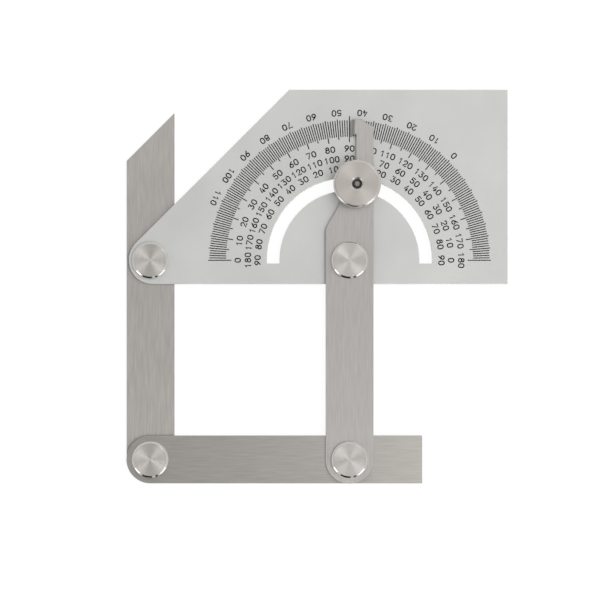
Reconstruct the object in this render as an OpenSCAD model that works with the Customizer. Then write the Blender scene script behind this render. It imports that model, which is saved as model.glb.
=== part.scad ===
// Angle finder with a linked set of arms: a scale plate, a pointer arm with a
// clamp knob, and two blades that stay parallel to the plate and to the pointer.
// The origin is the centre of the degree scale, on the surface that the tool
// lies on. X runs along the base edge, Y towards the 90 degree mark, Z upwards.

/* [Linkage] */
// Distance between neighbouring pivots, alike on all four sides of the linkage
pivot_pitch = 100; // [94:1:125]
// Width of every arm
arm_w = 24; // [20:0.5:26]
// Thickness of the scale plate and of every arm
sheet_t = 2; // [1.5:0.1:3]
// Length of the tip arm above its pivot, up to the point of its slanted end
tip_reach = 74; // [50:1:90]
// Length of the base arm past the pointer's pivot
base_reach = 36.5; // [16:0.5:60]

/* [Scale plate] */
// Distance from the scale centre to the plate's right edge
plate_right = 79.5; // [76:0.5:95]
// Distance from the scale centre to the plate's top edge
plate_top = 85.7; // [80:0.1:90]
// Distance from the tip arm's pivot to the plate's sloping edge
slope_dist = 11.3; // [10.5:0.1:13]
// Radius of the plate's rounded left corner
corner_r = 12.2; // [11:0.1:13]
// Radius of the middle of the clamp slot
slot_r = 38.3; // [34:0.1:40]
// Width of the clamp slot
slot_w = 6.2; // [5:0.1:7]
// Drop of the slot's square ends below the scale centre
slot_drop = 1.5; // [1:0.1:2.5]

/* [Degree marks] */
// Radius at which the one degree lines start
mark_r = 62; // [58:0.1:64]
// Length of a one degree line
mark_len = 8.3; // [6:0.1:9]
// Width of a line
mark_w = 0.48; // [0.3:0.01:0.6]
// Height of the filling that stands proud of the plate
mark_t = 0.05; // [0.03:0.01:0.1]
// Extra length towards the centre of a five degree line
five_in = 1.35; // [0.5:0.05:1.5]
// Extra length towards the centre of a ten degree line
ten_in = 2.7; // [1.6:0.05:3]
// Extra length outwards of the five and ten degree lines
five_out = 0.6; // [0.2:0.05:1]
// Extra length outwards of the line at the right angle
square_out = 2.1; // [1:0.05:2.5]

/* [Pointer arm] */
// Width of the boss that carries the clamp
boss_w = 16.6; // [14:0.1:19]
// Height above the scale centre at which the arm starts to narrow to the boss
taper_y = 15.7; // [8:0.1:18]
// Width of the slim neck above the clamp
neck_w = 8.6; // [7:0.1:10]
// Gap between the middle of a mark and the reading edge beside it
index_gap = 0.4; // [0.3:0.01:0.6]
// Width of the bevel along the reading edge
edge_bevel_w = 2.8; // [1:0.05:2.9]
// Thickness left at the reading edge
edge_t = 0.5; // [0.3:0.05:0.8]
// Slant of the nib's end, of its lower side and of the taper to the boss
slant = 30; // [25:1:35]
// Size of the corner taken off the nib at the top of its reading edge
nib_corner = 0.9; // [0.3:0.1:1.4]

/* [Pivots] */
// Diameter of the turned head of each pivot
head_d = 18.3; // [16:0.1:19]
// Thickness of a pivot's head
head_t = 2.2; // [1.5:0.1:3]
// Width of the bevel round the rim of a head, seen from above
head_bevel_w = 0.95; // [0.3:0.05:1.2]
// Height of that bevel
head_bevel_h = 0.68; // [0.2:0.02:0.9]
// Diameter of a pivot's shank
shank_d = 8; // [6:0.1:9]
// Depth of the riveted tail of a shank
tail_t = 0.7; // [0.4:0.05:0.9]
// Diameter of the thin washer between two layers
washer_d = 16; // [14:0.1:17]
// Thickness of that washer
washer_t = 0.3; // [0.2:0.05:0.5]

/* [Clamp] */
// Diameter of the clamp knob
knob_d = 24; // [22:0.5:26]
// Thickness of the knob's rim
knob_t = 6; // [4.5:0.1:8]
// Width of the bevel round the knob's rim, seen from above
knob_bevel_w = 0.95; // [0.4:0.05:1.2]
// Height of that bevel
knob_bevel_h = 0.7; // [0.3:0.05:1]
// Diameter of the foot turned under the knob
knob_foot_d = 15; // [12:0.5:16]
// Height of that foot
knob_foot_t = 1.2; // [0.8:0.1:2]
// Diameter of the mouth in the middle of the knob
knob_mouth_d = 6.4; // [6.2:0.1:7]
// Depth of that bevelled mouth
knob_mouth_t = 0.8; // [0.5:0.1:1.2]
// Diameter of the clamp stud
stud_d = 4.6; // [4:0.1:5]
// Distance from the knob's face down to the end of the stud
stud_sink = 1.2; // [0.9:0.1:2]
// Bevel on the end of the stud
stud_bevel = 1.1; // [0.3:0.05:1.3]
// Diameter of the stud's low head behind the plate
stud_head_d = 13; // [11:0.5:14]
// Thickness of the stud's head
stud_head_t = 1.5; // [1:0.1:1.6]
// Bevel round the stud's head
stud_head_bevel = 0.4; // [0.2:0.05:0.6]
// Diameter of the washer under the knob
seat_d = 14; // [12:0.5:15.5]
// Thickness of the washer under the knob
seat_t = 0.8; // [0.5:0.1:1.2]

/* [Fits] */
// Radial clearance where one piece turns on another
turn_gap = 0.05; // [0.03:0.01:0.08]
// Radial clearance at the linkage's free pivot, low on the left
free_gap = 0.1; // [0.08:0.01:0.15]
// Radial clearance where a shank is riveted fast
rivet_gap = 0.02; // [0.01:0.01:0.03]
// Clearance between the stud's square neck and each side of the slot
slot_gap = 0.3; // [0.2:0.05:0.5]

/* [Hidden] */
$fn = 96;
// Overrun of every cut past the face that it opens
cut = 0.5;

// Heights of the three layers: tip arm, then plate and base arm, then pointer
half_arm = arm_w / 2;
low_z = 0;
mid_z = low_z + sheet_t + washer_t;
top_z = mid_z + sheet_t + washer_t;
mid_face_z = mid_z + sheet_t;
top_face_z = top_z + sheet_t;

// The four pivots, named by where they sit
scale_pivot = [0, 0];
tip_pivot = [-pivot_pitch, 0];
corner_pivot = [-pivot_pitch, -pivot_pitch];
base_pivot = [0, -pivot_pitch];

// The plate's sloping edge runs at 45 degrees, slope_dist away from the tip pivot
slope_lift = pivot_pitch + slope_dist * sqrt(2);
corner_y = corner_r - half_arm;
corner_x = corner_y - slope_lift + corner_r * sqrt(2);
corner_tangent = corner_r / sqrt(2);

// The boss keeps the arm's right side, so its middle gives the stud's place
boss_left = half_arm - boss_w;
stud_x = half_arm - boss_w / 2;
stud_y = sqrt(pow(slot_r, 2) - pow(stud_x, 2));
neck_left = half_arm - neck_w;
taper_end_y = taper_y + (half_arm + boss_left) / tan(slant);
shoulder_y = stud_y + (knob_d / 2 - (neck_left - boss_left)) / 2;
nib_top = mark_r + mark_len + mark_w / 2;
nib_low = mark_r - mark_w / 2;
// The bevel stops at the neck, however slim the hook of the nib is
bevel_end_x = min(index_gap + edge_bevel_w, neck_left);
nib_inner_y = nib_low + (neck_left - index_gap) * tan(slant);
nib_corner_x = half_arm - (half_arm - neck_left) * 3 / 4;
nib_corner_y = nib_top - (half_arm - nib_corner_x) * tan(slant);

shank_r = shank_d / 2;
tail_r = shank_r + tail_t;

knob_z = top_face_z + seat_t;
rim_z = knob_z + knob_foot_t;
knob_face_z = rim_z + knob_t;
stud_top_z = knob_face_z - stud_sink;
neck_side = slot_w - 2 * slot_gap;
stud_r = stud_d / 2;

// Hole for a shank that passes from z0 to z1 with the given clearance
module shank_hole(place, z0, z1, gap) {
  translate([place.x, place.y, z0 - cut])
    cylinder(r = shank_r + gap, h = z1 - z0 + 2 * cut);
}

// Seat for the riveted tail of a shank, open at the underside
module tail_seat(place) {
  translate([place.x, place.y, low_z - cut])
    cylinder(r = tail_r + rivet_gap, h = cut);
  translate([place.x, place.y, low_z])
    cylinder(r1 = tail_r + rivet_gap, r2 = shank_r + rivet_gap, h = tail_t);
}

// Pivot turned from bar: riveted tail, plain shank and a wide bevelled head
module pivot_pin(place, head_z) {
  head_r = head_d / 2;
  face_z = head_z + head_t;
  translate([place.x, place.y, 0])
    rotate_extrude()
      polygon([
        [0, low_z],
        [tail_r, low_z],
        [shank_r, low_z + tail_t],
        [shank_r, head_z],
        [head_r, head_z],
        [head_r, face_z - head_bevel_h],
        [head_r - head_bevel_w, face_z],
        [0, face_z]
      ]);
}

// Collar that closes a pivot from behind and holds the part level
module pivot_collar(place) {
  collar_r = head_d / 2;
  difference() {
    translate([place.x, place.y, 0])
      rotate_extrude()
        polygon([
          [0, low_z],
          [collar_r - head_bevel_w, low_z],
          [collar_r, low_z + head_bevel_h],
          [collar_r, mid_z],
          [0, mid_z]
        ]);
    shank_hole(place, low_z, mid_z, rivet_gap);
    tail_seat(place);
  }
}

// Thin washer that keeps two layers apart
module pivot_washer(place, z) {
  difference() {
    translate([place.x, place.y, z])
      cylinder(d = washer_d, h = washer_t);
    shank_hole(place, z, z + washer_t, turn_gap);
  }
}

// Outline of the plate: square corners on the right, a 45 degree slope on the left
module plate_outline() {
  polygon([
    [corner_x, -half_arm],
    [plate_right, -half_arm],
    [plate_right, plate_top],
    [plate_top - slope_lift, plate_top],
    [corner_x - corner_tangent, corner_y + corner_tangent],
    [corner_x, corner_y]
  ]);
  translate([corner_x, corner_y])
    circle(r = corner_r);
}

// Half ring slot round the scale centre, its ends cut square
module clamp_slot() {
  outer_r = slot_r + slot_w / 2;
  inner_r = slot_r - slot_w / 2;
  intersection() {
    difference() {
      circle(r = outer_r, $fn = 180);
      circle(r = inner_r, $fn = 180);
    }
    translate([-outer_r - cut, -slot_drop])
      square([2 * (outer_r + cut), slot_drop + outer_r + cut]);
  }
}

module scale_plate() {
  color([0.80, 0.81, 0.80])
    difference() {
      translate([0, 0, mid_z])
        linear_extrude(sheet_t)
          plate_outline();
      translate([0, 0, mid_z - cut])
        linear_extrude(sheet_t + 2 * cut)
          clamp_slot();
      shank_hole(scale_pivot, mid_z, mid_face_z, rivet_gap);
      shank_hole(tip_pivot, mid_z, mid_face_z, turn_gap);
    }
}

// Filled graduation, one line a degree over the half circle
module degree_marks() {
  color([0.08, 0.08, 0.08])
    for (a = [0 : 180]) {
      is_five = a % 5 == 0;
      is_ten = a % 10 == 0;
      inward = is_ten ? ten_in : is_five ? five_in : 0;
      outward = a == 90 ? square_out : is_five ? five_out : 0;
      rotate(a)
        translate([mark_r - inward, -mark_w / 2, mid_face_z])
          cube([inward + mark_len + outward, mark_w, mark_t]);
    }
}

// Plain blade with a round end at the given place, reaching to end along its length
module blade(from, angle, length) {
  translate(from)
    rotate(angle) {
      circle(d = arm_w);
      translate([0, -half_arm])
        square([length, arm_w]);
    }
}

// Blade under the plate, its far end cut at 45 degrees to a point
module tip_arm() {
  color([0.66, 0.66, 0.65])
    difference() {
      translate([0, 0, low_z])
        linear_extrude(sheet_t)
          difference() {
            blade(corner_pivot, 90, pivot_pitch + tip_reach);
            translate([tip_pivot.x + half_arm, tip_reach])
              rotate(45)
                translate([-2 * arm_w, 0])
                  square([2 * arm_w + cut, arm_w + cut]);
          }
      shank_hole(corner_pivot, low_z, low_z + sheet_t, rivet_gap);
      shank_hole(tip_pivot, low_z, low_z + sheet_t, rivet_gap);
      tail_seat(corner_pivot);
      tail_seat(tip_pivot);
    }
}

// Blade that lies parallel to the plate's base edge
module base_arm() {
  color([0.62, 0.62, 0.61])
    difference() {
      translate([0, 0, mid_z])
        linear_extrude(sheet_t)
          blade(corner_pivot, 0, pivot_pitch + base_reach);
      shank_hole(corner_pivot, mid_z, mid_face_z, free_gap);
      shank_hole(base_pivot, mid_z, mid_face_z, rivet_gap);
    }
}

// Outline of the pointer above the scale centre: boss, neck and hooked nib
module pointer_outline() {
  polygon([
    [-half_arm, 0],
    [half_arm, 0],
    [half_arm, nib_corner_y],
    [nib_corner_x, nib_top],
    [index_gap + nib_corner, nib_top],
    [index_gap, nib_top - nib_corner],
    [index_gap, nib_low],
    [neck_left, nib_inner_y],
    [neck_left, shoulder_y + neck_left - boss_left],
    [boss_left, shoulder_y],
    [boss_left, taper_end_y],
    [-half_arm, taper_y]
  ]);
}

// Wedge taken off above the reading edge
module edge_bevel() {
  translate([0, nib_top + cut, 0])
    rotate([90, 0, 0])
      linear_extrude(nib_top - nib_low + 2 * cut)
        polygon([
          [index_gap - cut, top_z + edge_t],
          [index_gap, top_z + edge_t],
          [bevel_end_x, top_face_z],
          [bevel_end_x, top_face_z + cut],
          [index_gap - cut, top_face_z + cut]
        ]);
}

module pointer_arm() {
  color([0.70, 0.70, 0.69])
    difference() {
      translate([0, 0, top_z])
        linear_extrude(sheet_t) {
          pointer_outline();
          blade(base_pivot, 90, pivot_pitch);
        }
      edge_bevel();
      shank_hole(scale_pivot, top_z, top_face_z, turn_gap);
      shank_hole(base_pivot, top_z, top_face_z, turn_gap);
      translate([stud_x, stud_y, top_z - cut])
        cylinder(r = stud_r + turn_gap, h = sheet_t + 2 * cut);
    }
}

module scale_pivot_pin() {
  color([0.75, 0.75, 0.74]) pivot_pin(scale_pivot, top_face_z);
}

module scale_pivot_collar() {
  color([0.72, 0.72, 0.71]) pivot_collar(scale_pivot);
}

module scale_pivot_washer() {
  color([0.55, 0.55, 0.54]) pivot_washer(scale_pivot, mid_face_z);
}

module tip_pivot_pin() {
  color([0.75, 0.75, 0.74]) pivot_pin(tip_pivot, mid_face_z);
}

module tip_pivot_washer() {
  color([0.55, 0.55, 0.54]) pivot_washer(tip_pivot, low_z + sheet_t);
}

module corner_pivot_pin() {
  color([0.75, 0.75, 0.74]) pivot_pin(corner_pivot, mid_face_z);
}

module corner_pivot_washer() {
  color([0.55, 0.55, 0.54]) pivot_washer(corner_pivot, low_z + sheet_t);
}

module base_pivot_pin() {
  color([0.75, 0.75, 0.74]) pivot_pin(base_pivot, top_face_z);
}

module base_pivot_collar() {
  color([0.72, 0.72, 0.71]) pivot_collar(base_pivot);
}

module base_pivot_washer() {
  color([0.55, 0.55, 0.54]) pivot_washer(base_pivot, mid_face_z);
}

// Stud with a low round head, a square neck that rides in the slot and a plain
// shank, its neck turned so that two of its sides follow the slot
module clamp_stud() {
  head_r = stud_head_d / 2;
  head_low_z = mid_z - stud_head_t;
  color([0.58, 0.57, 0.56])
    translate([stud_x, stud_y, 0])
      rotate(atan2(stud_y, stud_x)) {
        rotate_extrude()
          polygon([
            [0, head_low_z],
            [head_r - stud_head_bevel, head_low_z],
            [head_r, head_low_z + stud_head_bevel],
            [head_r, mid_z],
            [stud_r, mid_z],
            [stud_r, stud_top_z - stud_bevel],
            [stud_r - stud_bevel, stud_top_z],
            [0, stud_top_z]
          ]);
        translate([-neck_side / 2, -neck_side / 2, mid_z])
          cube([neck_side, neck_side, sheet_t]);
      }
}

module clamp_seat_washer() {
  color([0.60, 0.60, 0.59])
    translate([stud_x, stud_y, 0])
      difference() {
        translate([0, 0, top_face_z])
          cylinder(d = seat_d, h = seat_t);
        translate([0, 0, top_face_z - cut])
          cylinder(r = stud_r + turn_gap, h = seat_t + 2 * cut);
      }
}

// Knob turned from bar: foot, wide rim bevelled both sides, and a bevelled mouth
module clamp_knob() {
  knob_r = knob_d / 2;
  bore_r = stud_r + turn_gap;
  color([0.73, 0.70, 0.69])
    translate([stud_x, stud_y, 0])
      rotate_extrude()
        polygon([
          [bore_r, knob_z],
          [knob_foot_d / 2, knob_z],
          [knob_foot_d / 2, rim_z],
          [knob_r - knob_bevel_w, rim_z],
          [knob_r, rim_z + knob_bevel_h],
          [knob_r, knob_face_z - knob_bevel_h],
          [knob_r - knob_bevel_w, knob_face_z],
          [knob_mouth_d / 2, knob_face_z],
          [bore_r, knob_face_z - knob_mouth_t]
        ]);
}

scale_plate();
degree_marks();
pointer_arm();
tip_arm();
base_arm();
scale_pivot_pin();
scale_pivot_collar();
scale_pivot_washer();
tip_pivot_pin();
tip_pivot_washer();
corner_pivot_pin();
corner_pivot_washer();
base_pivot_pin();
base_pivot_collar();
base_pivot_washer();
clamp_stud();
clamp_seat_washer();
clamp_knob();
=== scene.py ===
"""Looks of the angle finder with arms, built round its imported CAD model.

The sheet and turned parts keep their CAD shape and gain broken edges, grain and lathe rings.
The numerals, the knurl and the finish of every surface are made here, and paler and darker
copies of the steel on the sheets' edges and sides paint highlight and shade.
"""

import logging
import math
from dataclasses import dataclass, field, replace
from enum import Enum

import bmesh
import bpy
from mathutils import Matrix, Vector


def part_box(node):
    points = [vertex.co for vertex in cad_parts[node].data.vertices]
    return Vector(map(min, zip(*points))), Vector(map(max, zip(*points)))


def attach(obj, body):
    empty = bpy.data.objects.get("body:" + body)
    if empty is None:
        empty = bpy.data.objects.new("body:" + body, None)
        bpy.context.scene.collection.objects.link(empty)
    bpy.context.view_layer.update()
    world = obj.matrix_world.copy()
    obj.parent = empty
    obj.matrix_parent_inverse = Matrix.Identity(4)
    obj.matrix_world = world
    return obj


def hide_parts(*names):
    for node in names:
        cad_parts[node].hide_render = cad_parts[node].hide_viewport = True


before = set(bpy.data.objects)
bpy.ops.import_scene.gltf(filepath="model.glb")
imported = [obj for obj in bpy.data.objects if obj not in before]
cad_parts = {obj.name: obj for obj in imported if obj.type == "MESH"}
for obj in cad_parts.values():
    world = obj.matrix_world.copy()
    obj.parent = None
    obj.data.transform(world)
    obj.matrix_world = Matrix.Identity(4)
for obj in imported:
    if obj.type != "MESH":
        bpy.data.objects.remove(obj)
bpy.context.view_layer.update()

log = logging.getLogger("angle_finder")

MM = 0.001
# Least rise of a face's normal at which the face counts as flat, and as a slope
FLAT_RISE = 0.95
SLOPE_RISE = 0.3
# Points of the CAD mesh that lie closer than this are one, and faces that turn less are merged
MERGE_GAP = 0.0005 * MM
MERGE_TURN = math.radians(0.5)
# Edges that turn less than this many degrees stay sharp, and the others get this many faces
SHARP_TURN = 35.0
EDGE_FACES = 2
# How strongly the large faces keep their own shading, from 1 to 100
FLAT_WEIGHT = 100

Socket = bpy.types.NodeSocket
Material = bpy.types.Material
Colour = tuple[float, float, float]
Point = tuple[float, float]
Place = tuple[float, float, float]
# The fine noise and the broad noise of a finish, and the direction across its grain
Streaks = tuple[Socket, Socket, object]


class Grain(Enum):
    """Way in which a steel surface was finished."""

    ALONG_X = "brushed along X"
    ALONG_Y = "brushed along Y"
    TURNED = "faced in the lathe"
    ETCHED = "etched matt"


class Facing(Enum):
    """Side towards which the tops of a row of numerals point."""

    OUTWARD = 1
    INWARD = -1


class Graph:
    """Small builder for the nodes of one material, world or geometry tree."""

    # The part of a noise's range that most of its values fill
    NOISE_LOW = 0.25
    NOISE_HIGH = 0.75

    def __init__(self, tree: bpy.types.NodeTree) -> None:
        """Empties the tree.

        Args:
            tree: the node tree to fill.
        """
        self.tree = tree
        self.tree.nodes.clear()

    def node(self, kind: str, **settings: object) -> bpy.types.Node:
        """Adds a node.

        Args:
            kind: the node's type, such as ShaderNodeMath.
            **settings: properties to set on it.

        Returns:
            The new node.
        """
        made = self.tree.nodes.new(kind)
        for name, value in settings.items():
            setattr(made, name, value)
        return made

    def feed(self, target: Socket, value: object) -> None:
        """Links a socket to an input, or sets the input's own value.

        Args:
            target: the input.
            value: the socket, or the plain value.
        """
        if isinstance(value, Socket):
            self.tree.links.new(value, target)
        else:
            target.default_value = value

    def math(self, operation: str, first: object, second: object = 0.0) -> Socket:
        """Adds a Math node.

        Args:
            operation: the node's operation.
            first: the first number or socket.
            second: the second number or socket.

        Returns:
            The node's output.
        """
        made = self.node("ShaderNodeMath", operation=operation)
        self.feed(made.inputs[0], first)
        self.feed(made.inputs[1], second)
        return made.outputs[0]

    def vector(self, operation: str, first: object, second: object = (0, 0, 0)) -> bpy.types.Node:
        """Adds a Vector Math node.

        Args:
            operation: the node's operation.
            first: the first vector or socket.
            second: the second vector or socket.

        Returns:
            The node, because its output depends on the operation.
        """
        made = self.node("ShaderNodeVectorMath", operation=operation)
        self.feed(made.inputs[0], first)
        self.feed(made.inputs[1], second)
        return made

    def scaled(self, place: Socket, scale: Place) -> Socket:
        """Multiplies a place by a scale for each axis."""
        return self.vector("MULTIPLY", place, scale).outputs[0]

    def noise(self, place: Socket, detail: float) -> Socket:
        """Adds a Noise node at unit scale.

        Args:
            place: where it is read, already scaled.
            detail: number of finer octaves.

        Returns:
            The noise, from 0 to 1.
        """
        made = self.node("ShaderNodeTexNoise")
        self.feed(made.inputs["Vector"], place)
        made.inputs["Scale"].default_value = 1.0
        made.inputs["Detail"].default_value = detail
        return made.outputs["Fac"]

    def spread(self, value: Socket, low: float, high: float) -> Socket:
        """Maps a noise to a range.

        Args:
            value: the noise.
            low: result where the noise is low.
            high: result where the noise is high.

        Returns:
            The mapped value.
        """
        made = self.node("ShaderNodeMapRange")
        self.feed(made.inputs["Value"], value)
        made.inputs["From Min"].default_value = self.NOISE_LOW
        made.inputs["From Max"].default_value = self.NOISE_HIGH
        made.inputs["To Min"].default_value = low
        made.inputs["To Max"].default_value = high
        return made.outputs["Result"]

    def tinted(self, colour: Colour, gain: Socket) -> Socket:
        """Multiplies a colour by a gain.

        Args:
            colour: the colour, linear.
            gain: the gain's socket.

        Returns:
            The colour's socket.
        """
        made = self.node("ShaderNodeVectorMath", operation="SCALE")
        made.inputs[0].default_value = colour
        self.feed(made.inputs["Scale"], gain)
        return made.outputs[0]

    def finish_geometry(self, geometry: Socket, material: Material) -> None:
        """Ends a geometry tree with real instances, their material and the group's output.

        Args:
            geometry: what the tree has made.
            material: material of all its faces.
        """
        real = self.node("GeometryNodeRealizeInstances")
        self.feed(real.inputs[0], geometry)
        painted = self.node("GeometryNodeSetMaterial")
        self.feed(painted.inputs["Geometry"], real.outputs[0])
        painted.inputs["Material"].default_value = material
        self.feed(self.node("NodeGroupOutput").inputs[0], painted.outputs[0])


@dataclass(frozen=True)
class Steel:
    """Finish of one steel surface.

    Attributes:
        name: name of the material.
        colour: reflected colour, linear.
        grain: how the surface was finished.
        roughness: mean roughness.
        anisotropy: how far the grain spreads a highlight, 0 to 1.
        groove: depth of the finest scratches or rings, in metres.
        variation: share by which the brightness varies.
        centre: middle of the turned rings, in metres.
    """

    name: str
    colour: Colour
    grain: Grain
    roughness: float
    anisotropy: float = 0.0
    groove: float = 0.004 * MM
    variation: float = 0.06
    centre: Point = (0.0, 0.0)

    # Lines a metre, across the grain and along it, for the fine and the broad streaks
    FINE_ACROSS = 5000.0
    FINE_ALONG = 60.0
    BROAD_ACROSS = 1400.0
    BROAD_ALONG = 85.0
    # Specks and clouds a metre on an etched surface
    SPECKLE = 2600.0
    CLOUD = 32.0
    # How far the tone of a turned ring wanders on its way round
    RING_WANDER = 1.5
    # Share of the fine streaks in the tone, and swing of the roughness
    FINE_SHARE = 0.3
    ROUGHNESS_SWING = 0.03

    def _rings(self, graph: Graph, place: Socket) -> Streaks:
        """Builds the noises of a surface that was faced in the lathe.

        Args:
            graph: the material's graph.
            place: the object coordinates.

        Returns:
            The noises, which follow the rings, and the outward direction.
        """
        offset = graph.vector("SUBTRACT", place, (*self.centre, 0.0)).outputs[0]
        flat = graph.scaled(offset, (1.0, 1.0, 0.0))
        radius = graph.vector("LENGTH", flat).outputs["Value"]
        outward = graph.vector("NORMALIZE", flat).outputs[0]
        fine_place = graph.node("ShaderNodeCombineXYZ")
        graph.feed(fine_place.inputs["X"], graph.math("MULTIPLY", radius, self.FINE_ACROSS))
        wander = graph.scaled(outward, (self.RING_WANDER, self.RING_WANDER, 0.0))
        fine_sum = graph.vector("ADD", fine_place.outputs[0], wander).outputs[0]
        broad_place = graph.node("ShaderNodeCombineXYZ")
        graph.feed(broad_place.inputs["Z"], graph.math("MULTIPLY", radius, self.BROAD_ACROSS))
        fine = graph.noise(fine_sum, detail=2.0)
        return fine, graph.noise(broad_place.outputs[0], detail=1.0), outward

    def _specks(self, graph: Graph, place: Socket) -> Streaks:
        """Builds the noises of an etched surface.

        Args:
            graph: the material's graph.
            place: the object coordinates.

        Returns:
            The specks, the clouds, and a direction that stands for the grain.
        """
        specks = graph.noise(graph.scaled(place, (self.SPECKLE,) * 3), detail=3.0)
        clouds = graph.noise(graph.scaled(place, (self.CLOUD,) * 3), detail=2.0)
        return specks, clouds, (0.0, 1.0, 0.0)

    def _scratches(self, graph: Graph, place: Socket) -> Streaks:
        """Builds the noises of a brushed surface, drawn out along the brushing.

        Args:
            graph: the material's graph.
            place: the object coordinates.

        Returns:
            The fine and the broad scratches, and the direction across them.
        """
        if self.grain is Grain.ALONG_X:
            fine_scale = (self.FINE_ALONG, self.FINE_ACROSS, self.FINE_ACROSS)
            broad_scale = (self.BROAD_ALONG, self.BROAD_ACROSS, self.BROAD_ACROSS)
            direction = (0.0, 1.0, 0.0)
        else:
            fine_scale = (self.FINE_ACROSS, self.FINE_ALONG, self.FINE_ACROSS)
            broad_scale = (self.BROAD_ACROSS, self.BROAD_ALONG, self.BROAD_ACROSS)
            direction = (1.0, 0.0, 0.0)
        fine = graph.noise(graph.scaled(place, fine_scale), detail=3.0)
        broad = graph.noise(graph.scaled(place, broad_scale), detail=4.0)
        return fine, broad, direction

    def _streaks(self, graph: Graph, place: Socket) -> Streaks:
        """Builds the noises that follow the grain.

        Args:
            graph: the material's graph.
            place: the object coordinates.

        Returns:
            The fine noise, the broad noise, and the direction across the grain.
        """
        if self.grain is Grain.TURNED:
            return self._rings(graph, place)
        if self.grain is Grain.ETCHED:
            return self._specks(graph, place)
        return self._scratches(graph, place)

    def material(self) -> Material:
        """Builds the node material.

        Returns:
            The material, ready to be given to a piece.
        """
        made = bpy.data.materials.new(self.name)
        made.use_nodes = True
        graph = Graph(made.node_tree)
        place = graph.node("ShaderNodeTexCoord").outputs["Object"]
        fine, broad, across = self._streaks(graph, place)
        surface = graph.node("ShaderNodeBsdfPrincipled")
        surface.inputs["Metallic"].default_value = 1.0
        surface.inputs["Anisotropic"].default_value = self.anisotropy
        fine_part = graph.math("MULTIPLY", fine, self.FINE_SHARE)
        broad_part = graph.math("MULTIPLY", broad, 1.0 - self.FINE_SHARE)
        mixed = graph.math("ADD", fine_part, broad_part)
        gain = graph.spread(mixed, 1.0 - self.variation, 1.0 + self.variation)
        graph.feed(surface.inputs["Base Color"], graph.tinted(self.colour, gain))
        least, most = self.roughness - self.ROUGHNESS_SWING, self.roughness + self.ROUGHNESS_SWING
        graph.feed(surface.inputs["Roughness"], graph.spread(broad, least, most))
        bump = graph.node("ShaderNodeBump")
        bump.inputs["Strength"].default_value = 1.0
        bump.inputs["Distance"].default_value = self.groove
        graph.feed(bump.inputs["Height"], fine)
        graph.feed(surface.inputs["Normal"], bump.outputs[0])
        if self.anisotropy > 0:
            turned = graph.node(
                "ShaderNodeVectorTransform", vector_type="VECTOR", convert_from="OBJECT", convert_to="WORLD"
            )
            graph.feed(turned.inputs[0], across)
            graph.feed(surface.inputs["Tangent"], turned.outputs[0])
        output = graph.node("ShaderNodeOutputMaterial")
        graph.feed(output.inputs["Surface"], surface.outputs[0])
        return made

    def turned_about(self, centre: Point, owner: str = "") -> Material:
        """Builds the material with its rings about a point.

        Args:
            centre: middle of the rings, in metres.
            owner: word that ends the material's name.

        Returns:
            The material.
        """
        name = f"{self.name}_{owner}" if owner else self.name
        return replace(self, name=name, centre=centre).material()


@dataclass(frozen=True)
class Filling:
    """Matt black filling of the lines and numerals.

    Attributes:
        name: name of the material.
        colour: colour of the full black, linear.
        worn_colour: colour of the worn spots, linear.
        gloss: specular level.
        spots: spots a metre.
        least_roughness: roughness of the full black.
        most_roughness: roughness of the worn spots.
    """

    name: str = "black_filling"
    colour: Colour = (0.006, 0.006, 0.006)
    worn_colour: Colour = (0.016, 0.016, 0.015)
    gloss: float = 0.2
    spots: float = 900.0
    least_roughness: float = 0.6
    most_roughness: float = 0.8

    # Where the Mix node keeps its two colours and its mixed one
    MIX_FIRST = 6
    MIX_SECOND = 7
    MIX_RESULT = 2

    def material(self) -> Material:
        """Builds the node material.

        Returns:
            The material, ready to be given to a piece.
        """
        made = bpy.data.materials.new(self.name)
        made.use_nodes = True
        graph = Graph(made.node_tree)
        place = graph.node("ShaderNodeTexCoord").outputs["Object"]
        spots = graph.noise(graph.scaled(place, (self.spots,) * 3), detail=3.0)
        mix = graph.node("ShaderNodeMix", data_type="RGBA")
        graph.feed(mix.inputs["Factor"], spots)
        mix.inputs[self.MIX_FIRST].default_value = (*self.colour, 1.0)
        mix.inputs[self.MIX_SECOND].default_value = (*self.worn_colour, 1.0)
        surface = graph.node("ShaderNodeBsdfPrincipled")
        graph.feed(surface.inputs["Base Color"], mix.outputs[self.MIX_RESULT])
        roughness = graph.spread(spots, self.least_roughness, self.most_roughness)
        graph.feed(surface.inputs["Roughness"], roughness)
        surface.inputs["Specular IOR Level"].default_value = self.gloss
        output = graph.node("ShaderNodeOutputMaterial")
        graph.feed(output.inputs["Surface"], surface.outputs[0])
        return made


def dress(
    piece: bpy.types.Object, body: str, slot: str, materials: list[Material], *nodes: str
) -> None:
    """Gives a piece its materials and the body that it rides on.

    Args:
        piece: the finished object.
        body: CAD body that carries it.
        slot: material slot of the record; not used.
        materials: material of its faces and, if there are more, of its slopes and its sides;
        on the plate and the blades these are copies of the steel that paint highlight and shade.
        *nodes: CAD nodes that it stands for.
    """
    piece.data.materials.clear()
    for material in materials:
        piece.data.materials.append(material)
    if len(materials) > 1:
        sort_faces(piece, len(materials))
    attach(piece, body)
    if nodes:
        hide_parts(*nodes)
    log.info("%s rides on %s", piece.name, body)


def dress_node(node: str, material: Material) -> None:
    """Gives a CAD node that is carried over its material.

    Args:
        node: the CAD node.
        material: its material.
    """
    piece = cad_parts[node]
    piece.data.materials.clear()
    piece.data.materials.append(material)
    log.info("%s keeps its CAD mesh", node)


def node_middle(node: str) -> Point:
    """Middle of a CAD node's box, seen from above, in metres."""
    low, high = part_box(node)
    return (low.x + high.x) / 2, (low.y + high.y) / 2


def link_mesh(name: str, mesh: bpy.types.Mesh) -> bpy.types.Object:
    """Makes an object of a mesh, at the origin, and links it to the scene.

    Args:
        name: name of the object.
        mesh: its mesh.

    Returns:
        The new object.
    """
    made = bpy.data.objects.new(name, mesh)
    bpy.context.scene.collection.objects.link(made)
    return made


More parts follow.
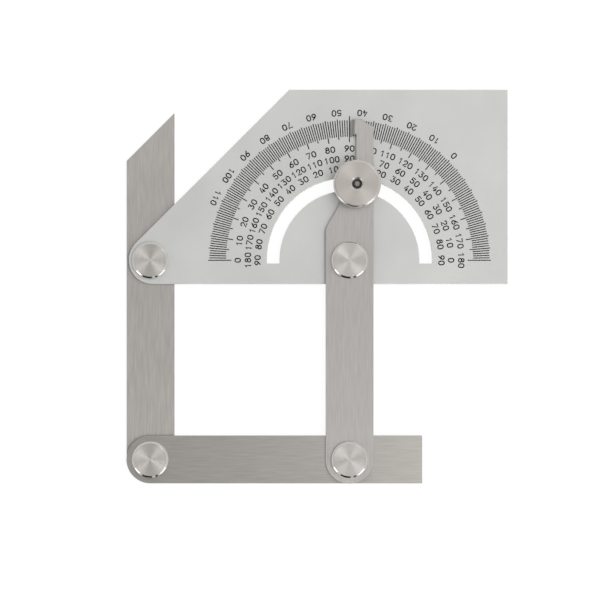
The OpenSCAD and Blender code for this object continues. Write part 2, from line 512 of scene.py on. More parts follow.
def baked(piece: bpy.types.Object) -> bpy.types.Mesh:
    """Gives the evaluated mesh of an object as plain data."""
    graph = bpy.context.evaluated_depsgraph_get()
    return bpy.data.meshes.new_from_object(piece.evaluated_get(graph), depsgraph=graph)


def soften(piece: bpy.types.Object, edge: float, angle: float = SHARP_TURN) -> None:
    """Breaks the sharp edges of a piece and keeps its flat faces flat.

    Args:
        piece: the object, whose mesh is replaced.
        edge: width of the broken edge, in metres.
        angle: edges that turn less than this many degrees stay as they are.
    """
    piece.data.shade_smooth()
    bevel = piece.modifiers.new("edge", "BEVEL")
    bevel.width = edge
    bevel.segments = EDGE_FACES
    bevel.limit_method = "ANGLE"
    bevel.angle_limit = math.radians(angle)
    bevel.miter_outer = "MITER_ARC"
    flats = piece.modifiers.new("flats", "WEIGHTED_NORMAL")
    flats.mode = "FACE_AREA"
    flats.weight = FLAT_WEIGHT
    result = baked(piece)
    piece.modifiers.clear()
    piece.data = result


def sort_faces(piece: bpy.types.Object, count: int) -> None:
    """Shares the materials among a piece's faces by their slope.

    The plate's slopes take a paler copy of its steel, a painted highlight, and the sides
    of the plate and the blades and the blades' slopes take darker copies, painted shade.

    Args:
        piece: the object, with its materials in place.
        count: 2 where upright sides look like the flat faces, 3 where they have their own darker material,
            painted shade.
    """
    for face in piece.data.polygons:
        rise = abs(face.normal.z)
        if rise >= FLAT_RISE:
            face.material_index = 0
        elif rise > SLOPE_RISE:
            face.material_index = 1
        else:
            face.material_index = 2 if count > 2 else 0


def broken_edges(node: str, name: str, edge: float) -> bpy.types.Object:
    """Copies a CAD node's mesh, cleans it and breaks its sharp edges.

    Args:
        node: the CAD node to copy.
        name: name of the new piece.
        edge: width of the broken edge, in metres.

    Returns:
        The new object, at the origin, with no modifier left on it.
    """
    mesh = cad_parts[node].data.copy()
    work = bmesh.new()
    work.from_mesh(mesh)
    bmesh.ops.remove_doubles(work, verts=work.verts, dist=MERGE_GAP)
    bmesh.ops.dissolve_limit(
        work, angle_limit=MERGE_TURN, verts=work.verts, edges=work.edges, delimit={"NORMAL"}
    )
    work.to_mesh(mesh)
    work.free()
    piece = link_mesh(name, mesh)
    soften(piece, edge)
    return piece


def geometry_tree(name: str, sizes: dict[str, float]) -> bpy.types.NodeTree:
    """Makes a geometry tree that takes a geometry and named sizes, and gives a geometry.

    Args:
        name: name of the tree.
        sizes: the default of each size by its name. Counts are whole numbers.

    Returns:
        The tree, with its inputs and output but no nodes.
    """
    tree = bpy.data.node_groups.new(name, "GeometryNodeTree")
    tree.interface.new_socket(name="Geometry", in_out="INPUT", socket_type="NodeSocketGeometry")
    for label, value in sizes.items():
        kind = "NodeSocketInt" if isinstance(value, int) else "NodeSocketFloat"
        made = tree.interface.new_socket(name=label, in_out="INPUT", socket_type=kind)
        made.default_value = value
    tree.interface.new_socket(name="Geometry", in_out="OUTPUT", socket_type="NodeSocketGeometry")
    return tree


def run_tree(
    piece: bpy.types.Object, tree: bpy.types.NodeTree, sizes: dict[str, float]
) -> bpy.types.Mesh:
    """Runs a geometry tree on an object and gives the plain mesh.

    Args:
        piece: the object that the tree reads.
        tree: the geometry tree.
        sizes: the value of each size by its name.

    Returns:
        The mesh that the tree makes.
    """
    modifier = piece.modifiers.new("shape", "NODES")
    modifier.node_group = tree
    for item in tree.interface.items_tree:
        if item.item_type == "SOCKET" and item.in_out == "INPUT" and item.name in sizes:
            modifier[item.identifier] = sizes[item.name]
    piece.update_tag()
    bpy.context.view_layer.update()
    mesh = baked(piece)
    piece.modifiers.clear()
    return mesh


@dataclass
class DigitFace:
    """Single stroke numerals, drawn in a cell of unit height.

    Attributes:
        width: width of the cell.
        bowl: radius of a round bowl.
        arc_steps: straight pieces in half a turn.
    """

    width: float = 0.66
    bowl: float = 0.29
    arc_steps: int = 7

    def _arc(self, centre: Point, radii: Point, start: float, end: float) -> list[Point]:
        """Points of an elliptic arc.

        Args:
            centre: middle of the arc.
            radii: half width and half height.
            start: first bearing, in degrees.
            end: last bearing, in degrees.

        Returns:
            The points from start to end.
        """
        steps = max(2, round(self.arc_steps * abs(end - start) / 180))
        bearings = [math.radians(start + (end - start) * i / steps) for i in range(steps + 1)]
        return [(centre[0] + radii[0] * math.cos(b), centre[1] + radii[1] * math.sin(b)) for b in bearings]

    def strokes(self, digit: str) -> list[list[Point]]:
        """Strokes of one digit, in a cell from 0 to width and 0 to 1.

        Args:
            digit: a character from 0 to 9.

        Returns:
            One list of points for each stroke.
        """
        w = self.width
        half = w / 2
        bowl = self.bowl
        ring = self._arc((half, bowl), (half, bowl), 90, -270)
        shapes = {
            "0": [
                self._arc((half, 1 - half), (half, half), 0, 180)
                + self._arc((half, half), (half, half), 180, 360)
                + [(w, 1 - half)]
            ],
            "1": [[(half - 0.2, 0.76), (half + 0.03, 1.0), (half + 0.03, 0.0)]],
            "2": [self._arc((half, 0.7), (half * 0.95, 0.3), 170, -35) + [(0.0, 0.0), (w, 0.0)]],
            "3": [
                [(0.05, 1.0), (w - 0.05, 1.0), (half - 0.02, 0.6)]
                + self._arc((half - 0.02, 0.3), (half, 0.3), 90, -150)
            ],
            "4": [[(half + 0.06, 1.0), (0.0, 0.26), (w, 0.26)], [(w - 0.16, 0.58), (w - 0.16, 0.0)]],
            "5": [
                [(w - 0.06, 1.0), (0.08, 1.0), (0.05, 0.56)]
                + self._arc((half - 0.02, 0.31), (half, 0.31), 125, -150)
            ],
            "6": [ring, [(w - 0.08, 1.0), (0.16, 0.62), (0.0, bowl)]],
            "7": [[(0.0, 1.0), (w, 1.0), (0.2, 0.0)]],
            "8": [ring, self._arc((half, 0.79), (half * 0.84, 0.21), -90, 270)],
            "9": [
                self._arc((half, 1 - bowl), (half, bowl), -90, 270),
                [(w, 1 - bowl), (w - 0.16, 0.38), (0.08, 0.0)],
            ],
        }
        return shapes[digit]


@dataclass
class NumeralRow:
    """One row of numerals on an arc round the scale centre.

    Attributes:
        radius: radius of the digits' middle line, in metres.
        values: reading at each bearing, as (bearing in degrees, number).
        facing: side towards which the digits' tops point.
    """

    radius: float
    values: list[tuple[int, int]]
    facing: Facing = Facing.OUTWARD


@dataclass
class Numerals:
    """All numerals of the scale, as filled strokes on the plate.

    Attributes:
        height: height of a digit between the middles of its strokes, in metres.
        pitch: distance from one digit's middle to the next one's, in metres.
        stroke: width of a stroke, in metres.
        proud: height of the filling over the plate, in metres.
        cap_share: height of a stroke's round end, as a share of the filling's.
        cap_sides: sides of a round end.
        inner_radius: radius of the row next to the lines, in metres.
        middle_radius: radius of the row inside that one, in metres.
        square_radius: radius of the row that counts from the square, in metres.
        outer_radius: radius of the row outside the lines, in metres.
        span: degrees that the scale covers.
        step: degrees from one number to the next.
        outer_start: bearing of the outer row's 0, in degrees.
        outer_end: bearing of the outer row's last number, in degrees.
        face: shapes of the digits.
    """

    height: float = 2.72 * MM
    pitch: float = 2.7 * MM
    stroke: float = 0.57 * MM
    proud: float = 0.05 * MM
    cap_share: float = 0.96
    cap_sides: int = 12
    inner_radius: float = 56.1 * MM
    middle_radius: float = 51.0 * MM
    square_radius: float = 46.15 * MM
    outer_radius: float = 74.1 * MM
    span: int = 180
    step: int = 10
    outer_start: int = 45
    outer_end: int = 155
    face: DigitFace = field(default_factory=DigitFace)

    def rows(self) -> list[NumeralRow]:
        """Lays out the three rows inside the lines and the row outside them.

        Returns:
            The rows, from the outermost inner one to the innermost, then the outer one.
        """
        bearings = range(0, self.span + 1, self.step)
        outer = range(self.outer_start, self.outer_end + 1, self.step)
        return [
            NumeralRow(self.inner_radius, [(b, self.span - b) for b in bearings]),
            NumeralRow(self.middle_radius, [(b, b) for b in bearings]),
            NumeralRow(self.square_radius, [(b, abs(self.span // 2 - b)) for b in bearings]),
            NumeralRow(self.outer_radius, [(b, b - self.outer_start) for b in outer], Facing.INWARD),
        ]

    def _placed(self, row: NumeralRow, bearing: int, number: int) -> list[list[Point]]:
        """Puts the strokes of one number in their place on the plate.

        Args:
            row: the row that it stands in.
            bearing: its bearing from the scale centre, in degrees.
            number: the number.

        Returns:
            One list of points for each stroke, in metres.
        """
        turn = math.radians(bearing)
        out = Vector((math.cos(turn), math.sin(turn)))
        up = out * row.facing.value
        side = Vector((up.y, -up.x))
        text = str(number)
        placed = []
        for index, digit in enumerate(text):
            shift = (index - (len(text) - 1) / 2) * self.pitch
            middle = out * row.radius + side * shift
            for stroke in self.face.strokes(digit):
                points = []
                for x, y in stroke:
                    across = side * (x - self.face.width / 2) * self.height
                    along = up * (y - 0.5) * self.height
                    points.append(tuple(middle + across + along))
                placed.append(points)
        return placed

    def _tree(self, sizes: dict[str, float], material: Material) -> bpy.types.NodeTree:
        """Builds the geometry tree that makes filled strokes with round ends of lines.

        Args:
            sizes: the tree's sizes by name.
            material: the filling.

        Returns:
            The tree.
        """
        tree = geometry_tree("stroke_filling", sizes)
        graph = Graph(tree)
        given = graph.node("NodeGroupInput").outputs
        normal = graph.node("GeometryNodeSetCurveNormal", mode="Z_UP")
        graph.feed(normal.inputs["Curve"], given["Geometry"])
        profile = graph.node("GeometryNodeCurvePrimitiveQuadrilateral")
        graph.feed(profile.inputs["Width"], given["Stroke width"])
        graph.feed(profile.inputs["Height"], given["Proud height"])
        ribbon = graph.node("GeometryNodeCurveToMesh")
        graph.feed(ribbon.inputs["Curve"], normal.outputs[0])
        graph.feed(ribbon.inputs["Profile Curve"], profile.outputs[0])
        ribbon.inputs["Fill Caps"].default_value = True
        cap = graph.node("GeometryNodeMeshCylinder")
        cap.inputs["Vertices"].default_value = self.cap_sides
        graph.feed(cap.inputs["Radius"], graph.math("MULTIPLY", given["Stroke width"], 0.5))
        graph.feed(cap.inputs["Depth"], graph.math("MULTIPLY", given["Proud height"], given["Cap share"]))
        ends = graph.node("GeometryNodeCurveEndpointSelection")
        caps = graph.node("GeometryNodeInstanceOnPoints")
        graph.feed(caps.inputs["Points"], given["Geometry"])
        graph.feed(caps.inputs["Selection"], ends.outputs[0])
        graph.feed(caps.inputs["Instance"], cap.outputs["Mesh"])
        joined = graph.node("GeometryNodeJoinGeometry")
        graph.feed(joined.inputs[0], ribbon.outputs[0])
        graph.feed(joined.inputs[0], caps.outputs[0])
        graph.finish_geometry(joined.outputs[0], material)
        return tree

    def build(self, face_z: float, material: Material) -> bpy.types.Object:
        """Makes every numeral as one piece.

        Args:
            face_z: height of the plate's face, in metres.
            material: the filling.

        Returns:
            The piece, not yet dressed.
        """
        curve = bpy.data.curves.new("numeral_lines", "CURVE")
        curve.dimensions = "3D"
        for row in self.rows():
            for bearing, number in row.values:
                for stroke in self._placed(row, bearing, number):
                    spline = curve.splines.new("POLY")
                    spline.points.add(len(stroke) - 1)
                    for point, (x, y) in zip(spline.points, stroke):
                        point.co = (x, y, face_z + self.proud / 2, 1.0)
        lines = bpy.data.objects.new("numeral_lines", curve)
        bpy.context.scene.collection.objects.link(lines)
        sizes = {"Stroke width": self.stroke, "Proud height": self.proud, "Cap share": self.cap_share}
        mesh = run_tree(lines, self._tree(sizes, material), sizes)
        bpy.data.objects.remove(lines)
        return link_mesh("numerals", mesh)


@dataclass
class ScalePlate:
    """The graduated plate, its lines and its numerals.

    Attributes:
        edge: width of its broken edges, in metres.
        steel: finish of its faces.
        rim: paler copy of its steel on its broken edges, a painted highlight.
        side: darker copy of its steel on its upright sides, painted shade.
        filling: finish of the lines and numerals.
        numerals: the numerals.
    """

    edge: float = 0.2 * MM
    steel: Steel = Steel(
        "scale_steel",
        (0.636, 0.636, 0.622),
        Grain.ETCHED,
        roughness=0.66,
        groove=0.006 * MM,
        variation=0.1,
    )
    # Paler, smoother copy of the steel on the broken edges; its pale colour is a painted highlight
    rim: Steel = Steel("scale_rim_painted_highlight", (0.85, 0.85, 0.835), Grain.ETCHED, roughness=0.3)
    # Darker copy of the steel on the upright sides; its dark colour is painted shade
    side: Steel = Steel("scale_side_painted_shade", (0.34, 0.34, 0.332), Grain.ETCHED, roughness=0.5)
    filling: Filling = Filling()
    numerals: Numerals = field(default_factory=Numerals)

    def build(self) -> None:
        """Builds and dresses the plate's pieces."""
        sheet = broken_edges("scale_plate", "plate_sheet", self.edge)
        # The faces' steel, then the rim's painted highlight and the sides' painted shade
        steels = [self.steel.material(), self.rim.material(), self.side.material()]
        dress(sheet, "plate", "scale_steel", steels, "scale_plate")
        black = self.filling.material()
        dress_node("degree_marks", black)
        face_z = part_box("scale_plate")[1].z
        dress(self.numerals.build(face_z, black), "plate", "fill_black", [black])


@dataclass(frozen=True)
class Blade:
    """One of the brushed blades.

    Attributes:
        node: CAD node of the blade.
        body: CAD body that it belongs to.
        steel: finish of its faces.
        edge: width of its broken edges, in metres.
    """

    node: str
    body: str
    steel: Steel
    edge: float = 0.15 * MM

    def build(self, rim: Material, side: Material) -> None:
        """Builds and dresses the blade.

        Args:
            rim: darker copy of the blade steel on its broken edges and bevels, painted shade.
            side: darker copy of the blade steel on its upright sides, painted shade.
        """
        piece = broken_edges(self.node, f"{self.node}_blade", self.edge)
        dress(piece, self.body, "blade_steel", [self.steel.material(), rim, side], self.node)


@dataclass(frozen=True)
class Pivot:
    """One pivot: pin with its head, washer and, where there is one, the rear collar.

    Attributes:
        name: first word of its nodes' names.
        body: CAD body that it belongs to.
        collar: whether a rear collar closes it.
        edge: width of its broken edges, in metres.
        steel: finish of its faces.
        bevel: finish of the head's bevel.
    """

    name: str
    body: str
    collar: bool = False
    edge: float = 0.08 * MM
    steel: Steel = Steel(
        "turned_steel",
        (0.592, 0.568, 0.538),
        Grain.TURNED,
        roughness=0.52,
        anisotropy=0.88,
        groove=0.006 * MM,
        variation=0.08,
    )
    bevel: Steel = Steel(
        "chamfer_steel",
        (0.62, 0.61, 0.59),
        Grain.TURNED,
        roughness=0.1,
        anisotropy=0.5,
        groove=0.002 * MM,
        variation=0.03,
    )

    def build(self, shim: Material) -> None:
        """Builds and dresses the pivot's pieces.

        Args:
            shim: material of the thin washer.
        """
        centre = node_middle(f"{self.name}_pivot_pin")
        turned = [steel.turned_about(centre, self.name) for steel in (self.steel, self.bevel)]
        for kind in ["pin", "collar"] if self.collar else ["pin"]:
            node = f"{self.name}_pivot_{kind}"
            piece = broken_edges(node, f"{node}_turned", self.edge)
            dress(piece, self.body, "turned_steel", turned, node)
        dress_node(f"{self.name}_pivot_washer", shim)


@dataclass
class Linkage:
    """The three blades and the four pivots that join them to the plate.

    Attributes:
        rim: darker copy of the blades' steel on their broken edges and bevels, painted shade.
        side: darker copy of the blades' steel on their upright sides, painted shade.
        blades: the blades.
        pivots: the pivots.
    """

    # Darker copies of the blades' steel: painted shade on their broken edges, bevels and upright sides
    rim: Steel = Steel("blade_rim_painted_shade", (0.45, 0.435, 0.42), Grain.ETCHED, roughness=0.35)
    side: Steel = Steel("blade_side_painted_shade", (0.3, 0.292, 0.282), Grain.ETCHED, roughness=0.5)
    blades: tuple[Blade, ...] = (
        Blade(
            "pointer_arm",
            "pointer",
            Steel(
                "pointer_steel",
                (0.585, 0.562, 0.54),
                Grain.ALONG_Y,
                roughness=0.5,
                anisotropy=0.9,
                variation=0.14,
            ),
        ),
        Blade(
            "tip_arm",
            "tip",
            Steel(
                "tip_steel",
                (0.53, 0.51, 0.484),
                Grain.ALONG_Y,
                roughness=0.5,
                anisotropy=0.9,
                variation=0.19,
            ),
        ),
        Blade(
            "base_arm",
            "base",
            Steel(
                "base_steel",
                (0.485, 0.464, 0.434),
                Grain.ALONG_X,
                roughness=0.43,
                anisotropy=0.89,
                variation=0.15,
            ),
        ),
    )
    pivots: tuple[Pivot, ...] = (
        Pivot("scale", "plate", collar=True),
        Pivot("tip", "tip"),
        Pivot("corner", "tip"),
        Pivot("base", "base", collar=True),
    )

    def build(self, shim: Material) -> None:
        """Builds and dresses the blades, then the pivots.

        Args:
            shim: material of the pivots' washers.
        """
        # Painted shade: the darker copies of the steel for the blades' edges and sides
        rim, side = self.rim.material(), self.side.material()
        for blade in self.blades:
            blade.build(rim, side)
        for pivot in self.pivots:
            pivot.build(shim)


@dataclass
class ClampKnob:
    """The turned and knurled clamp knob.

    Attributes:
        knurl_depth: height of the knurl's ridges, in metres.
        ridges: number of ridges round the rim.
        ridge_factor: radius of a ridge's bar, as a multiple of the ridges' height.
        ridge_sides: sides of a ridge's bar.
        turns: flat faces round the turned body.
        bevel_width: width of the rim's bevels, in metres.
        bevel_height: height of the rim's bevels, in metres.
        foot_radius: radius of the foot, in metres.
        foot_height: height of the foot, in metres.
        mouth_radius: radius of the countersunk mouth of the bore, in metres.
        mouth_depth: depth of the mouth, in metres.
        bore_radius: radius of the bore, in metres.
        edge: width of its broken edges, in metres.
        edge_turn: edges that turn less than this many degrees stay sharp.
        steel: finish of its faces.
        bevel: finish of its bevels.
        knurl: finish of the ridges.
    """

    knurl_depth: float = 0.16 * MM
    ridges: int = 92
    ridge_factor: float = 3.0
    ridge_sides: int = 4
    turns: int = 144
    bevel_width: float = 0.95 * MM
    bevel_height: float = 0.7 * MM
    foot_radius: float = 7.5 * MM
    foot_height: float = 1.2 * MM
    mouth_radius: float = 3.2 * MM
    mouth_depth: float = 0.8 * MM
    bore_radius: float = 2.36 * MM
    edge: float = 0.3 * MM
    edge_turn: float = 30.0
    steel: Steel = Steel(
        "knob_steel",
        (0.575, 0.54, 0.505),
        Grain.TURNED,
        roughness=0.59,
        anisotropy=0.8,
        groove=0.006 * MM,
        variation=0.08,
    )
    bevel: Steel = Steel(
        "knob_chamfer_steel",
        (0.6, 0.58, 0.56),
        Grain.TURNED,
        roughness=0.2,
        anisotropy=0.5,
        groove=0.002 * MM,
        variation=0.03,
    )
    knurl: Steel = Steel(
        "knurl_steel", (0.575, 0.54, 0.505), Grain.ETCHED, roughness=0.32, variation=0.1
    )

    def _profile(self, low: float, high: float, radius: float) -> list[Point]:
        """Half section of the knob from the foot's bore round to the mouth.

        Args:
            low: height of the foot.
            high: height of the face.
            radius: radius of the rim under the knurl.

        Returns:
            Points as (radius, height), in metres.
        """
        rim = low + self.foot_height
        return [
            (self.bore_radius, low),
            (self.foot_radius, low),
            (self.foot_radius, rim),
            (radius - self.bevel_width, rim),
            (radius, rim + self.bevel_height),
            (radius, high - self.bevel_height),
            (radius - self.bevel_width, high),
            (self.mouth_radius, high),
            (self.bore_radius, high - self.mouth_depth),
        ]

    def _body(self, centre: Point, profile: list[Point]) -> bpy.types.Object:
        """Turns the half section about the knob's axis into a closed ring.

        Args:
            centre: the axis, seen from above, in metres.
            profile: the half section, as (radius, height), in metres.

        Returns:
            The piece, not yet dressed.
        """
        work = bmesh.new()
        rings = []
        for turn in range(self.turns):
            bearing = 2 * math.pi * turn / self.turns
            x, y = math.cos(bearing), math.sin(bearing)
            places = [(centre[0] + r * x, centre[1] + r * y, z) for r, z in profile]
            rings.append([work.verts.new(place) for place in places])
        for turn, ring in enumerate(rings):
            following = rings[(turn + 1) % self.turns]
            for i in range(len(profile)):
                j = (i + 1) % len(profile)
                work.faces.new((ring[i], following[i], following[j], ring[j]))
        bmesh.ops.recalc_face_normals(work, faces=work.faces)
        mesh = bpy.data.meshes.new("knob_turned")
        work.to_mesh(mesh)
        work.free()
        piece = link_mesh("knob_turned", mesh)
        soften(piece, self.edge, self.edge_turn)
        return piece

    def _knurl_tree(self, sizes: dict[str, float], material: Material) -> bpy.types.NodeTree:
        """Builds the geometry tree that sets straight ridges round a rim.

        Args:
            sizes: the tree's sizes by name.
            material: material of the ridges.

        Returns:
            The tree.
        """
        tree = geometry_tree("straight_knurl", sizes)
        graph = Graph(tree)
        given = graph.node("NodeGroupInput").outputs
        circle = graph.node("GeometryNodeMeshCircle")
        graph.feed(circle.inputs["Vertices"], given["Ridges"])
        graph.feed(circle.inputs["Radius"], given["Ridge circle"])
        ridge = graph.node("GeometryNodeMeshCylinder")
        ridge.inputs["Vertices"].default_value = self.ridge_sides
        graph.feed(ridge.inputs["Radius"], given["Ridge radius"])
        graph.feed(ridge.inputs["Depth"], given["Ridge length"])
        index = graph.node("GeometryNodeInputIndex")
        turns = graph.math("MULTIPLY", index.outputs[0], 2 * math.pi)
        bearing = graph.node("ShaderNodeCombineXYZ")
        graph.feed(bearing.inputs["Z"], graph.math("DIVIDE", turns, given["Ridges"]))
        placed = graph.node("GeometryNodeInstanceOnPoints")
        graph.feed(placed.inputs["Points"], circle.outputs[0])
        graph.feed(placed.inputs["Instance"], ridge.outputs["Mesh"])
        graph.feed(placed.inputs["Rotation"], bearing.outputs[0])
        graph.finish_geometry(placed.outputs[0], material)
        return tree

    def _knurl(
        self, centre: Point, low: float, high: float, radius: float, material: Material
    ) -> bpy.types.Object:
        """Makes the ridges of the knurl, between the two bevels of the rim.

        Args:
            centre: the knob's axis, seen from above, in metres.
            low: height of the foot.
            high: height of the face.
            radius: radius over the ridges.
            material: material of the ridges.

        Returns:
            The piece, not yet dressed.
        """
        seed = link_mesh("knurl_seed", bpy.data.meshes.new("knurl_seed"))
        ridge_radius = self.knurl_depth * self.ridge_factor
        bottom = low + self.foot_height + self.bevel_height
        top = high - self.bevel_height
        sizes = {
            "Ridges": self.ridges,
            "Ridge circle": radius - ridge_radius,
            "Ridge radius": ridge_radius,
            "Ridge length": top - bottom,
        }
        mesh = run_tree(seed, self._knurl_tree(sizes, material), sizes)
        bpy.data.objects.remove(seed)
        for vertex in mesh.vertices:
            vertex.co += Vector((*centre, (bottom + top) / 2))
        return link_mesh("knob_knurl", mesh)

    def build(self) -> None:
        """Builds and dresses the knob's pieces."""
        low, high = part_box("clamp_knob")
        centre = node_middle("clamp_knob")
        radius = (high.y - low.y) / 2
        turned = [steel.turned_about(centre) for steel in (self.steel, self.bevel)]
        profile = self._profile(low.z, high.z, radius - self.knurl_depth)
        dress(self._body(centre, profile), "knob", "knob_steel", turned, "clamp_knob")
        rough = self.knurl.material()
        ridges = self._knurl(centre, low.z, high.z, radius, rough)
        dress(ridges, "knob", "knob_steel", [rough], "clamp_knob")


@dataclass
class Clamp:
    """Stud and seat washer of the clamp, with the knob.

    Attributes:
        knob: the knob.
        edge: width of the broken edges of the stud and the washer, in metres.
        stud: finish of the stud.
    """

    knob: ClampKnob = field(default_factory=ClampKnob)
    edge: float = 0.06 * MM
    stud: Steel = Steel(
        "stud_steel",
        (0.2, 0.19, 0.18),
        Grain.TURNED,
        roughness=0.38,
        anisotropy=0.5,
        variation=0.15,
    )

    def build(self, shim: Material) -> None:
        """Builds and dresses the clamp's pieces.

        Args:
            shim: material of the seat washer.
        """
        steel = self.stud.turned_about(node_middle("clamp_stud"))
        stud = broken_edges("clamp_stud", "stud_turned", self.edge)
        dress(stud, "pointer", "stud_steel", [steel], "clamp_stud")
        washer = broken_edges("clamp_seat_washer", "seat_washer", self.edge)
        dress(washer, "pointer", "washer_steel", [shim], "clamp_seat_washer")
        self.knob.build()


@dataclass(frozen=True)
class Lamp:
    """Soft lamp that faces the middle of the object.

    Attributes:
        name: name of the lamp.
        bearing: where it stands, in degrees from +X towards +Y.
        elevation: height over the floor as an angle, in degrees.
        distance: distance from the middle of the object, in metres.
        width: level width of its panel, in metres.
        height: other side of its panel, in metres.
        level: brightness of the panel, where 1 is white.
    """

    name: str
    bearing: float
    elevation: float
    distance: float
    width: float
    height: float
    level: float

    def build(self, target: Vector) -> None:
        """Places the lamp.

        Args:
            target: point that it faces.
        """
        turn, lift = math.radians(self.bearing), math.radians(self.elevation)
        light = bpy.data.lights.new(self.name, "AREA")
        light.shape = "RECTANGLE"
        light.size = self.width
        light.size_y = self.height
        light.energy = self.level * math.pi * self.width * self.height
        lamp = bpy.data.objects.new(self.name, light)
        bpy.context.scene.collection.objects.link(lamp)
        way = Vector((math.cos(turn) * math.cos(lift), math.sin(turn) * math.cos(lift), math.sin(lift)))
        lamp.location = target + way * self.distance
        lamp.rotation_euler = (-way).to_track_quat("-Z", "Y").to_euler()
        lamp.visible_camera = False


@dataclass
class Studio:
    """Floor, lamps, pale room and camera.

    A rise here is the upward part of a direction, from 0 on the level to 1 straight up.

    Attributes:
        view_width: width that the camera sees at the plate's face, in metres.
        view_middle: point under the camera, in metres.
        camera_height: height of the camera over the plate's face, in metres.
        camera_reach: distance up to which the camera sees, in metres.
        sensor: width of the camera's sensor, in millimetres.
        floor_side: side of the floor, in metres.
        floor_gap: depth of the floor under the object's lowest point, in metres.
        floor_shade: how pale the floor is in the lamps' light.
        floor_white: brightness that the floor shows to the camera.
        floor_lit: share of the floor's shade that the lamps make up.
        walls: brightness of the walls.
        ceiling: brightness of the ceiling.
        ceiling_from: rise of a direction at which the ceiling's tone starts.
        walls_to: rise of a direction up to which the walls' tone still shows.
        door_bearing: middle of the dark doorway, in degrees from -Y towards +X.
        door_half_width: half of the doorway's width, in degrees.
        door_height: rise of the direction to the doorway's top.
        door_level: brightness of the doorway, as a share.
        door_soft: half width of its soft sides, in radians.
        door_top_soft: half width of its soft top, as a rise.
        post_bearing: middle of the light post in the doorway, in degrees.
        post_half_width: half of the post's width, in degrees.
        post_soft: half width of its soft sides, in radians.
        shade_bearing: bearing of the ceiling's brighter side, in degrees from +X towards +Y.
        shade_level: brightness of its darker side, as a share.
        shade_from: where the shade ends, along that bearing.
        shade_to: where the full brightness starts, along that bearing.
        lamps: the lamps.
    """

    view_width: float = 301.7 * MM
    view_middle: Point = (-24.6 * MM, -20.2 * MM)
    camera_height: float = 1.6
    camera_reach: float = 50.0
    sensor: float = 36.0
    floor_side: float = 8.0
    floor_gap: float = 0.05 * MM
    floor_shade: float = 0.12
    floor_white: float = 1.02
    floor_lit: float = 0.9
    walls: float = 0.85
    ceiling: float = 0.8
    ceiling_from: float = 0.35
    walls_to: float = 0.8
    door_bearing: float = -3.0
    door_half_width: float = 25.5
    door_height: float = 0.5
    door_level: float = 0.01
    door_soft: float = 0.03
    door_top_soft: float = 0.1
    post_bearing: float = 9.0
    post_half_width: float = 5.0
    post_soft: float = 0.02
    shade_bearing: float = 30.0
    shade_level: float = 0.4
    shade_from: float = -0.4
    shade_to: float = 0.1
    lamps: tuple[Lamp, ...] = (
        Lamp("upper_key", 45.0, 62.0, distance=1.5, width=0.42, height=0.92, level=2.7),
        Lamp("lower_key", 315.0, 62.0, distance=1.5, width=0.42, height=0.92, level=3.3),
        Lamp("low_left", 222.0, 19.0, distance=1.2, width=0.38, height=0.3, level=2.0),
        Lamp("low_right", 311.0, 18.0, distance=1.2, width=0.55, height=0.3, level=1.3),
    )

    def _floor(self) -> None:
        """Pale floor that looks white, keeps the object's shadow and is clear from below."""
        half = self.floor_side / 2
        mesh = bpy.data.meshes.new("floor")
        sides = [(-half, -half), (half, -half), (half, half), (-half, half)]
        mesh.from_pydata([(x, y, -self.floor_gap) for x, y in sides], [], [(0, 1, 2, 3)])
        floor = link_mesh("floor", mesh)
        made = bpy.data.materials.new("pale_floor")
        made.use_nodes = True
        graph = Graph(made.node_tree)
        diffuse = graph.node("ShaderNodeBsdfDiffuse")
        diffuse.inputs["Color"].default_value = (*(self.floor_shade,) * 3, 1.0)
        glow = graph.node("ShaderNodeEmission")
        glow.inputs["Color"].default_value = (1.0, 1.0, 1.0, 1.0)
        path = graph.node("ShaderNodeLightPath").outputs
        seen = graph.math("MAXIMUM", path["Is Camera Ray"], path["Is Glossy Ray"])
        seen = graph.math("MAXIMUM", seen, path["Is Transmission Ray"])
        level = self.floor_white - self.floor_shade * self.floor_lit
        graph.feed(glow.inputs["Strength"], graph.math("MULTIPLY", seen, level))
        both = graph.node("ShaderNodeAddShader")
        graph.feed(both.inputs[0], diffuse.outputs[0])
        graph.feed(both.inputs[1], glow.outputs[0])
        sided = graph.node("ShaderNodeMixShader")
        graph.feed(sided.inputs[0], graph.node("ShaderNodeNewGeometry").outputs["Backfacing"])
        graph.feed(sided.inputs[1], both.outputs[0])
        graph.feed(sided.inputs[2], graph.node("ShaderNodeBsdfTransparent").outputs[0])
        graph.feed(graph.node("ShaderNodeOutputMaterial").inputs["Surface"], sided.outputs[0])
        mesh.materials.append(made)

    def _smooth_step(self, graph: Graph, value: Socket, low: float, high: float) -> Socket:
        """Rises smoothly from 0 to 1 between two values.

        Args:
            graph: the world's graph.
            value: what is compared.
            low: where the rise starts.
            high: where it ends.

        Returns:
            The result.
        """
        made = graph.node("ShaderNodeMapRange", interpolation_type="SMOOTHSTEP")
        graph.feed(made.inputs["Value"], value)
        made.inputs["From Min"].default_value = low
        made.inputs["From Max"].default_value = high
        return made.outputs["Result"]

    def _outside(self, graph: Graph, bearing: Socket, middle: float, half: float, soft: float) -> Socket:
        """Tells whether a bearing lies outside an upright band.

        Args:
            graph: the world's graph.
            bearing: the bearing, in radians.
            middle: middle of the band, in degrees.
            half: half of its width, in degrees.
            soft: half width of its soft sides, in radians.

        Returns:
            0 inside the band and 1 outside it.
        """
        off = graph.math("ABSOLUTE", graph.math("SUBTRACT", bearing, math.radians(middle)))
        edge = math.radians(half)
        return self._smooth_step(graph, off, edge - soft, edge + soft)

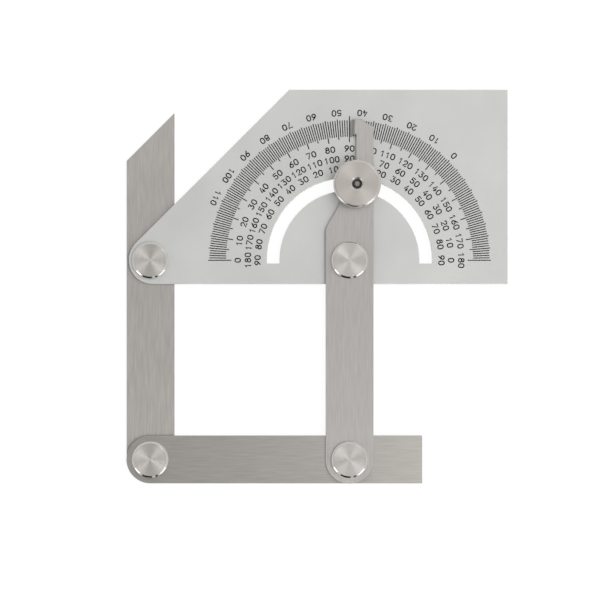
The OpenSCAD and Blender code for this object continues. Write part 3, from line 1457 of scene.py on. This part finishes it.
    def _room(self, graph: Graph, way: Socket, rise: Socket) -> Socket:
        """Builds the brightness of the walls and of the ceiling, which is darker on one side.

        Args:
            graph: the world's graph.
            way: direction in which the room is seen.
            rise: upward part of that direction.

        Returns:
            The brightness.
        """
        up = self._smooth_step(graph, rise, self.ceiling_from, self.walls_to)
        lean = math.radians(self.shade_bearing)
        along = graph.vector("DOT_PRODUCT", way, (math.cos(lean), math.sin(lean), 0.0)).outputs["Value"]
        side = self._smooth_step(graph, along, self.shade_from, self.shade_to)
        share = graph.math("ADD", self.shade_level, graph.math("MULTIPLY", side, 1.0 - self.shade_level))
        drop = graph.math("SUBTRACT", self.walls, graph.math("MULTIPLY", share, self.ceiling))
        return graph.math("SUBTRACT", self.walls, graph.math("MULTIPLY", up, drop))

    def _doorway(self, graph: Graph, bearing: Socket, rise: Socket) -> Socket:
        """Builds the share of the room's brightness that the doorway and its post leave.

        Args:
            graph: the world's graph.
            bearing: bearing of the direction in which the room is seen, in radians from -Y.
            rise: upward part of that direction.

        Returns:
            The share.
        """
        beside = self._outside(graph, bearing, self.door_bearing, self.door_half_width, self.door_soft)
        soft = self.door_top_soft
        above = self._smooth_step(graph, rise, self.door_height - soft, self.door_height + soft)
        off_post = self._outside(graph, bearing, self.post_bearing, self.post_half_width, self.post_soft)
        post = graph.math("SUBTRACT", 1.0, off_post)
        pale = graph.math("MAXIMUM", graph.math("MAXIMUM", beside, above), post)
        return graph.math("ADD", self.door_level, graph.math("MULTIPLY", pale, 1.0 - self.door_level))

    def _world(self) -> None:
        """Pale room with a dark doorway on the near side, which the camera sees as white."""
        world = bpy.data.worlds.new("pale_room")
        bpy.context.scene.world = world
        world.use_nodes = True
        graph = Graph(world.node_tree)
        way = graph.node("ShaderNodeTexCoord").outputs["Generated"]
        axes = graph.node("ShaderNodeSeparateXYZ")
        graph.feed(axes.inputs[0], way)
        x, y, z = axes.outputs
        bearing = graph.math("ARCTAN2", x, graph.math("MULTIPLY", y, -1.0))
        lit = graph.math("MULTIPLY", self._room(graph, way, z), self._doorway(graph, bearing, z))
        seen = graph.math("MAXIMUM", lit, graph.node("ShaderNodeLightPath").outputs["Is Camera Ray"])
        sky = graph.node("ShaderNodeBackground")
        sky.inputs["Color"].default_value = (1.0, 1.0, 1.0, 1.0)
        graph.feed(sky.inputs["Strength"], seen)
        graph.feed(graph.node("ShaderNodeOutputWorld").inputs["Surface"], sky.outputs[0])

    def _camera(self) -> None:
        """Camera straight above the middle of the photograph's view."""
        data = bpy.data.cameras.new("camera")
        data.sensor_width = self.sensor
        data.lens = self.sensor * self.camera_height / self.view_width
        data.clip_end = self.camera_reach
        camera = bpy.data.objects.new("camera", data)
        bpy.context.scene.collection.objects.link(camera)
        face_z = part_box("scale_plate")[1].z
        camera.location = (*self.view_middle, face_z + self.camera_height)
        bpy.context.scene.camera = camera

    def build(self) -> None:
        """Sets up the whole studio."""
        bpy.context.scene.view_settings.view_transform = "Standard"
        self._camera()
        self._floor()
        self._world()
        for lamp in self.lamps:
            lamp.build(Vector((*self.view_middle, 0.0)))


def main() -> None:
    """Builds the studio and every sub-assembly."""
    logging.basicConfig(level=logging.INFO, format="%(name)s: %(message)s")
    Studio().build()
    shim = Steel("shim_steel", (0.36, 0.355, 0.345), Grain.ETCHED, roughness=0.35).material()
    ScalePlate().build()
    Linkage().build(shim)
    Clamp().build(shim)


if __name__ == "__main__":
    main()
